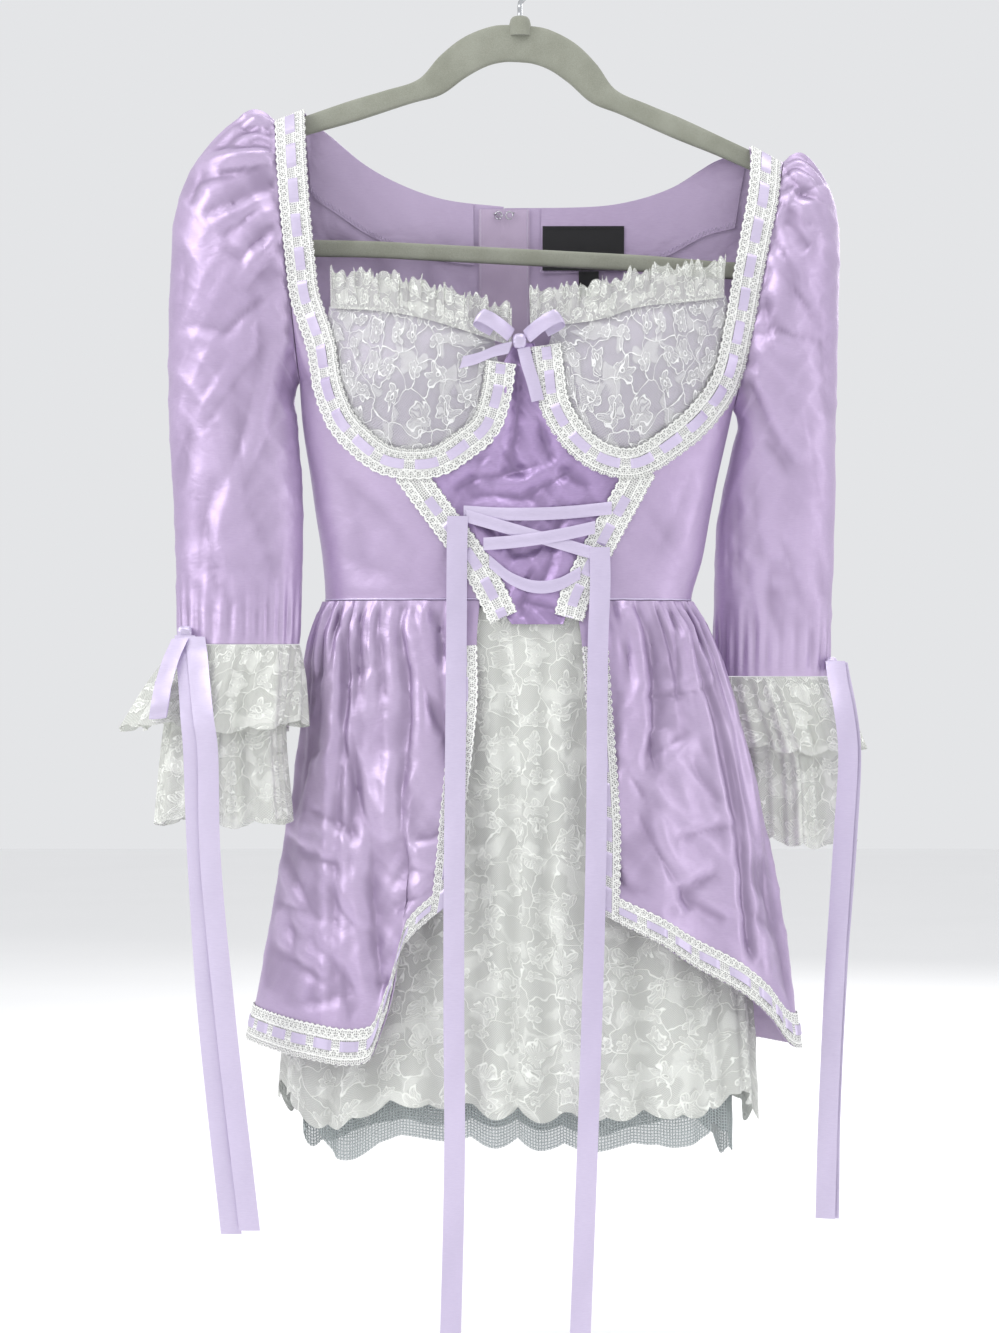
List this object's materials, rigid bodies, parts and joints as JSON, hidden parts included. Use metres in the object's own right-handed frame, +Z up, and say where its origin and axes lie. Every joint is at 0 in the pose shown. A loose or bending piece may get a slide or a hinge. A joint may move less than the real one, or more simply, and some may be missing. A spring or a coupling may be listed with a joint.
{
  "type": "corset dress on a hanger",
  "caption": "Lilac satin corset dress with lace cups, ribbon lacing, puffed sleeves with lace cuffs and an open overskirt, on a slim velvet hanger.",
  "frame": {"origin": "the inside top of the hanger's hook, where it bears on a rail", "axes": "+Z up, the dress's front faces -Y, +X to the right seen from the front"},
  "size_m": [0.539, 0.1933, 1.0185],
  "materials": {
    "satin": "smooth lilac satin with a soft sheen",
    "lace": "off-white floral lace, matt",
    "ribbon": "lilac satin ribbon",
    "lining": "plain white lining",
    "net": "sheer stiff grey-white net",
    "velvet": "short flocked velvet over plastic",
    "steel": "bright plated steel",
    "guard": "woven lilac tape",
    "label": "black woven label, bare"
  },
  "bodies": {
    "garment": {"back_left": "satin", "back_right": "satin", "bow_knot": "ribbon", "bow_loop_left": "ribbon", "bow_loop_right": "ribbon", "bow_tail_left": "ribbon", "bow_tail_right": "ribbon", "cuff_lower_left": "lace", "cuff_lower_right": "lace", "cuff_upper_left": "lace", "cuff_upper_right": "lace", "cup_frill_left": "lace", "cup_frill_right": "lace", "cup_lace_left": "lace", "cup_lace_right": "lace", "cup_left": "satin", "cup_right": "satin", "edge_trim_left": "lace", "edge_trim_right": "lace", "front_panel": "satin", "front_side_left": "satin", "front_side_right": "satin", "front_trim_left": "lace", "front_trim_right": "lace", "hanger_body": "velvet", "hanger_hook": "steel", "hem_trim_left": "lace", "hem_trim_right": "lace", "lace_underskirt": "lace", "lacing_1": "ribbon", "lacing_2": "ribbon", "lacing_3": "ribbon", "lacing_4": "ribbon", "lacing_end_left": "ribbon", "lacing_end_right": "ribbon", "neck_facing_left": "satin", "neck_facing_right": "satin", "neck_label": "label", "neck_trim_left": "lace", "neck_trim_right": "lace", "net_petticoat": "net", "overskirt_left": "satin", "overskirt_right": "satin", "size_label": "label", "skirt_lining": "lining", "sleeve_left": "satin", "sleeve_right": "satin", "tie_knot_left": "ribbon", "tie_knot_right": "ribbon", "tie_loop_left": "ribbon", "tie_tail_left_a": "ribbon", "tie_tail_left_b": "ribbon", "tie_tail_right_a": "ribbon", "tie_tail_right_b": "ribbon", "top_eye": "steel", "top_hook": "steel", "zip_guard": "guard", "zip_slider": "steel"},
    "zip_pull": {"zip_pull": "steel"}
  },
  "joints": [
    {"name": "zip_pull_swing", "type": "hinge", "parent": "garment", "child": "zip_pull", "pos_m": [-0.0115, 0.03296, -0.19566], "axis": [1, 0, 0], "range_deg": [0, 150]}
  ]
}
